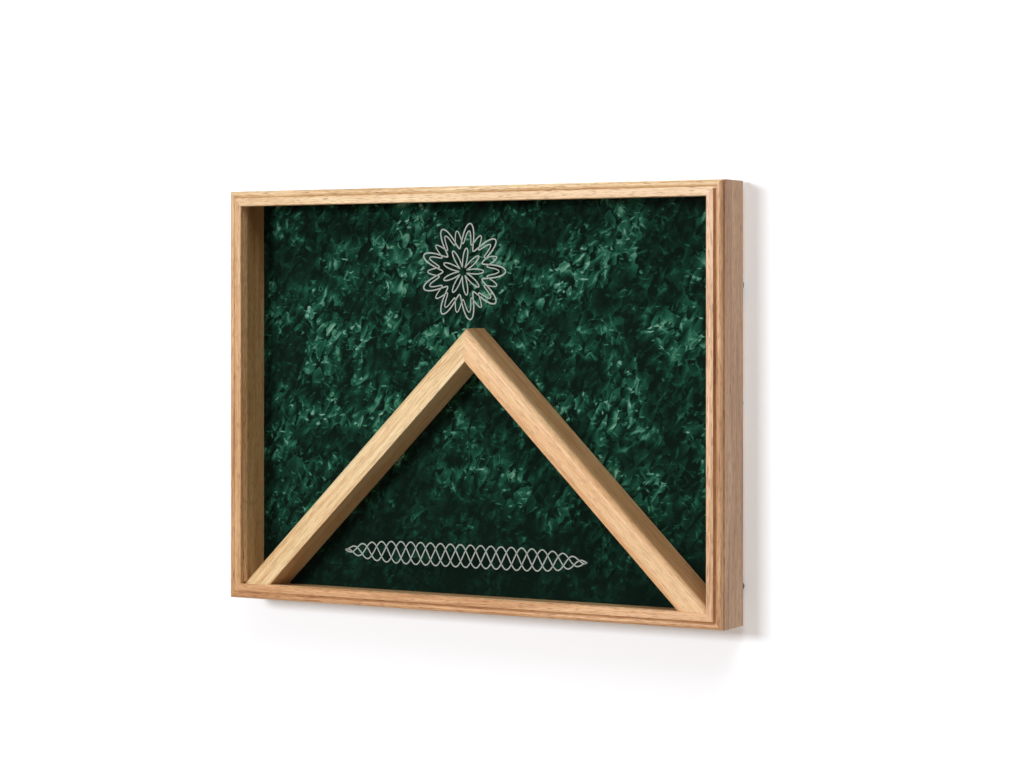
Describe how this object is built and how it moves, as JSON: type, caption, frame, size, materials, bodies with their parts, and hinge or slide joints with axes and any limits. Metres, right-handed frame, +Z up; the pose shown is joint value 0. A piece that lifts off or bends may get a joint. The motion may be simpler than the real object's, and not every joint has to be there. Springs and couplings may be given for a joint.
{
  "type": "folded flag display case",
  "caption": "Oak wall display case with a glass front, green velvet backing and a pair of mitred bars that frame the triangle of a folded flag.",
  "frame": {"origin": "middle of the bottom face, halfway through the depth of the boards", "axes": "+X to the right seen from the front, +Y from front to back, +Z up"},
  "size_m": [0.455, 0.0462, 0.343],
  "materials": {
    "oak": "satin varnished golden oak",
    "glass": "clear float glass",
    "velvet": "green crushed velvet",
    "hardboard": "plain brown hardboard",
    "zinc_steel": "bright zinc plated",
    "bumper": "soft matt pad"
  },
  "bodies": {
    "case": {"bottom_rail": "oak", "top_rail": "oak", "left_stile": "oak", "right_stile": "oak", "left_bar": "oak", "right_bar": "oak", "glass_fillet_top": "oak", "glass_fillet_bottom": "oak", "glass_fillet_left": "oak", "glass_fillet_right": "oak", "glass_pane": "glass", "velvet_cover": "velvet", "backing_board": "hardboard", "hanger_strap_left": "zinc_steel", "hanger_strap_right": "zinc_steel", "corner_nails": "zinc_steel", "fillet_brads": "zinc_steel", "button_screws": "zinc_steel", "bar_screws": "zinc_steel", "hanger_screws": "zinc_steel", "wall_bumpers": "bumper"},
    "turn_button_top_left": {"turn_button_top_left": "zinc_steel"},
    "turn_button_top_right": {"turn_button_top_right": "zinc_steel"},
    "turn_button_bottom_left": {"turn_button_bottom_left": "zinc_steel"},
    "turn_button_bottom_right": {"turn_button_bottom_right": "zinc_steel"},
    "turn_button_left": {"turn_button_left": "zinc_steel"},
    "turn_button_right": {"turn_button_right": "zinc_steel"},
    "hanger_ring_left": {"hanger_ring_left": "zinc_steel"},
    "hanger_ring_right": {"hanger_ring_right": "zinc_steel"}
  },
  "joints": [
    {"name": "turn_button_top_left_turn", "type": "hinge", "parent": "case", "child": "turn_button_top_left", "pos_m": [-0.12, 0.0211, 0.3388], "axis": [0, 1, 0], "continuous": true},
    {"name": "turn_button_top_right_turn", "type": "hinge", "parent": "case", "child": "turn_button_top_right", "pos_m": [0.12, 0.0211, 0.3388], "axis": [0, 1, 0], "continuous": true},
    {"name": "turn_button_bottom_left_turn", "type": "hinge", "parent": "case", "child": "turn_button_bottom_left", "pos_m": [-0.12, 0.0211, 0.0042], "axis": [0, 1, 0], "continuous": true},
    {"name": "turn_button_bottom_right_turn", "type": "hinge", "parent": "case", "child": "turn_button_bottom_right", "pos_m": [0.12, 0.0211, 0.0042], "axis": [0, 1, 0], "continuous": true},
    {"name": "turn_button_left_turn", "type": "hinge", "parent": "case", "child": "turn_button_left", "pos_m": [-0.2233, 0.0211, 0.1715], "axis": [0, 1, 0], "continuous": true},
    {"name": "turn_button_right_turn", "type": "hinge", "parent": "case", "child": "turn_button_right", "pos_m": [0.2233, 0.0211, 0.1715], "axis": [0, 1, 0], "continuous": true},
    {"name": "hanger_ring_left_swing", "type": "hinge", "parent": "case", "child": "hanger_ring_left", "pos_m": [-0.222, 0.02275, 0.265], "axis": [1, 0, 0], "range_deg": [0, 170]},
    {"name": "hanger_ring_right_swing", "type": "hinge", "parent": "case", "child": "hanger_ring_right", "pos_m": [0.222, 0.02275, 0.265], "axis": [1, 0, 0], "range_deg": [0, 170]}
  ]
}
